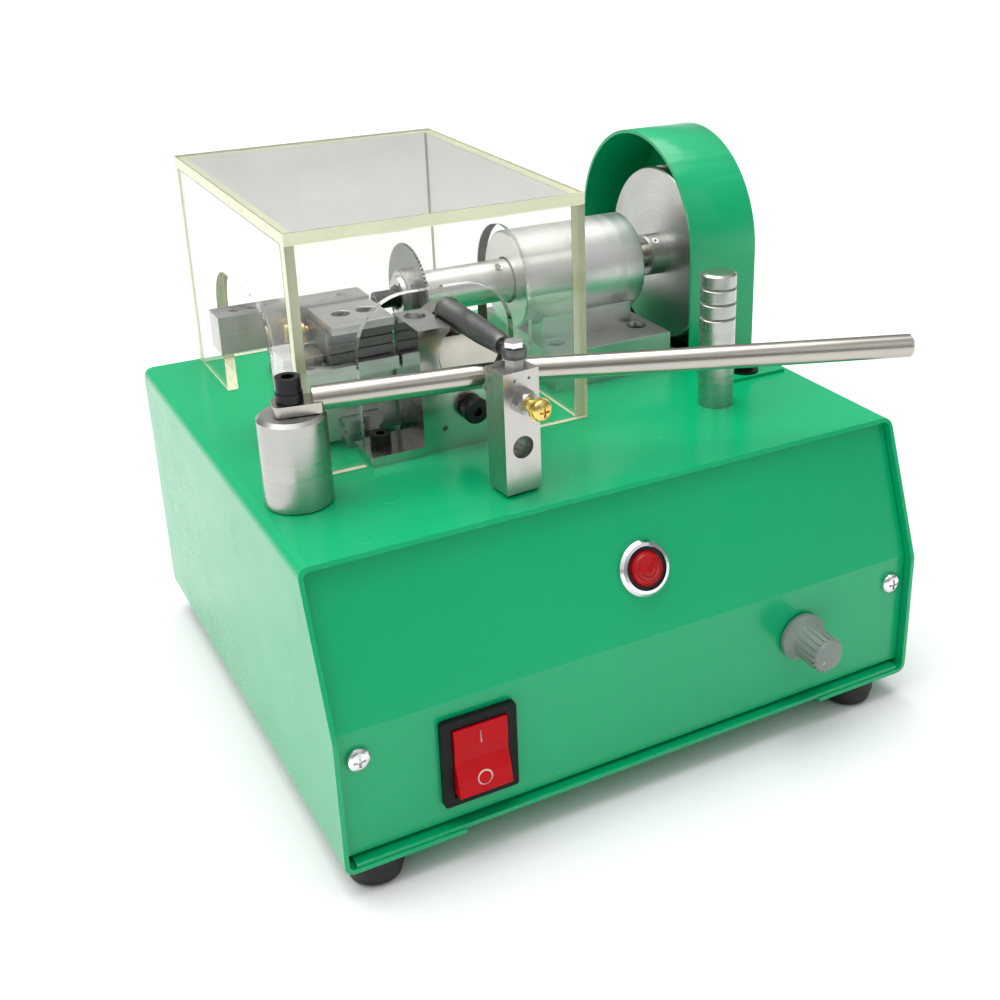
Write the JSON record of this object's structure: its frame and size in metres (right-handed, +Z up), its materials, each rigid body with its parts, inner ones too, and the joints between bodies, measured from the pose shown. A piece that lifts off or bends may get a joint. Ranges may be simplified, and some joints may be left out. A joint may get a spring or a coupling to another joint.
{
  "type": "bench cut-off saw",
  "caption": "Small bench cut-off saw: green sheet-metal cabinet, belt-driven spindle with a thin blade, lever-fed slide, belt guard and a clear lift-off cover.",
  "frame": {"origin": "centre of the overall box, at the plane the feet stand on", "axes": "+X to the machine's right along the spindle, +Y to the back, +Z up; the front panel faces -Y"},
  "size_m": [0.22, 0.2258, 0.1922],
  "materials": {
    "green_paint": "smooth gloss enamel",
    "black_rubber": "matt",
    "steel": "ground and polished",
    "black_steel": "black oxide, satin",
    "dark_metal": "dark satin",
    "aluminium": "machined, satin",
    "blade_steel": "fine circular brushing",
    "yellow_zinc": "yellow zinc plating",
    "brass": "turned",
    "red_plastic": "gloss",
    "lamp_red": "clear red, gloss",
    "chrome": "polished",
    "black_plastic": "fine grain",
    "grey_plastic": "satin",
    "board_green": "satin",
    "acrylic": "clear, polished"
  },
  "bodies": {
    "base": {"cabinet_cover": "green_paint", "front_panel": "green_paint", "rear_panel": "green_paint", "base_plate": "green_paint", "rubber_feet": "black_rubber", "foot_screws": "steel", "panel_screws": "steel", "switch_frame": "black_plastic", "lamp_bezel": "chrome", "lamp_lens": "lamp_red", "speed_control": "aluminium", "mains_inlet": "black_plastic", "fuse_holder": "black_plastic", "control_board": "board_green", "board_posts": "steel", "motor_body": "dark_metal", "motor_bracket": "steel", "motor_bolts": "steel", "drive_belt": "black_rubber", "spindle_base": "aluminium", "base_bolts": "black_steel", "spindle_housing": "aluminium", "bearings": "steel", "belt_guard": "green_paint", "guard_bolts": "black_steel", "lever_post": "aluminium", "grip_post": "aluminium", "post_bolts": "steel", "pivot_screw": "black_steel", "slide_rail": "steel", "ram_block": "aluminium", "block_screws": "black_steel"},
    "spindle": {"spindle_shaft": "steel", "arbor_sleeve": "aluminium", "set_screws": "steel", "saw_blade": "blade_steel", "blade_flange": "aluminium", "blade_bolt": "black_steel", "disc_pulley": "aluminium"},
    "rotor": {"motor_shaft": "steel", "motor_pulley": "aluminium"},
    "rocker": {"switch_rocker": "red_plastic"},
    "knob": {"knob_shaft": "steel", "speed_knob": "grey_plastic"},
    "lever": {"lever_rod": "steel", "rod_block": "aluminium", "adjusting_screw": "yellow_zinc", "lock_nuts": "steel", "link_pin": "steel"},
    "feed": {"carriage": "aluminium", "feed_ram": "steel", "cross_rail": "aluminium"},
    "link": {"push_link": "dark_metal"},
    "cross_slide": {"slide_block": "dark_metal", "top_plate": "aluminium", "plate_screws": "black_steel", "stop_bar": "aluminium"},
    "slide_screw": {"slide_lock": "brass"},
    "ram_screw": {"ram_lock": "black_steel"},
    "cover": {"acrylic_cover": "acrylic"}
  },
  "joints": [
    {"name": "lever_swing", "type": "hinge", "parent": "base", "child": "lever", "pos_m": [-0.0946, -0.0387, 0.14], "axis": [0, 0, 1], "range_deg": [0, 11]},
    {"name": "feed_slide", "type": "slide", "parent": "base", "child": "feed", "axis": [0, 1, 0], "range_m": [0, 0.0126]},
    {"name": "link_swing", "type": "hinge", "parent": "feed", "child": "link", "pos_m": [-0.0308, -0.0176, 0.1515], "axis": [0, 0, 1], "range_deg": [0, 4.31]},
    {"name": "cross_slide_x", "type": "slide", "parent": "feed", "child": "cross_slide", "axis": [1, 0, 0], "range_m": [-0.008, 0]},
    {"name": "slide_screw_turn", "type": "hinge", "parent": "cross_slide", "child": "slide_screw", "pos_m": [-0.08, 0.0129, 0.1437], "axis": [1, 0, 0], "range_deg": [0, 180]},
    {"name": "ram_screw_turn", "type": "hinge", "parent": "base", "child": "ram_screw", "pos_m": [-0.0296, -0.0311, 0.1206], "axis": [0, 1, 0], "range_deg": [0, 180]},
    {"name": "spindle_spin", "type": "hinge", "parent": "base", "child": "spindle", "pos_m": [-0.005, 0.0347, 0.1428], "axis": [1, 0, 0], "continuous": true},
    {"name": "motor_spin", "type": "hinge", "parent": "base", "child": "rotor", "pos_m": [0.04, 0.0347, 0.0585], "axis": [1, 0, 0], "continuous": true},
    {"name": "switch_rock", "type": "hinge", "parent": "base", "child": "rocker", "pos_m": [-0.0635, -0.0944, 0.0358], "axis": [1, 0, 0], "range_deg": [0, 14]},
    {"name": "speed_turn", "type": "hinge", "parent": "base", "child": "knob", "pos_m": [0.0618, -0.1011, 0.0385], "axis": [0, 1, 0], "range_deg": [0, 300]},
    {"name": "cover_lift", "type": "slide", "parent": "base", "child": "cover", "axis": [0, 0, 1], "range_m": [0, 0.09]}
  ],
  "couplings": [
    {"joint": "feed_slide", "follows": "lever_swing", "m_per_rad": 0.06552},
    {"joint": "link_swing", "follows": "lever_swing", "ratio": 0.39108},
    {"joint": "motor_spin", "follows": "spindle_spin", "ratio": 2.94}
  ]
}
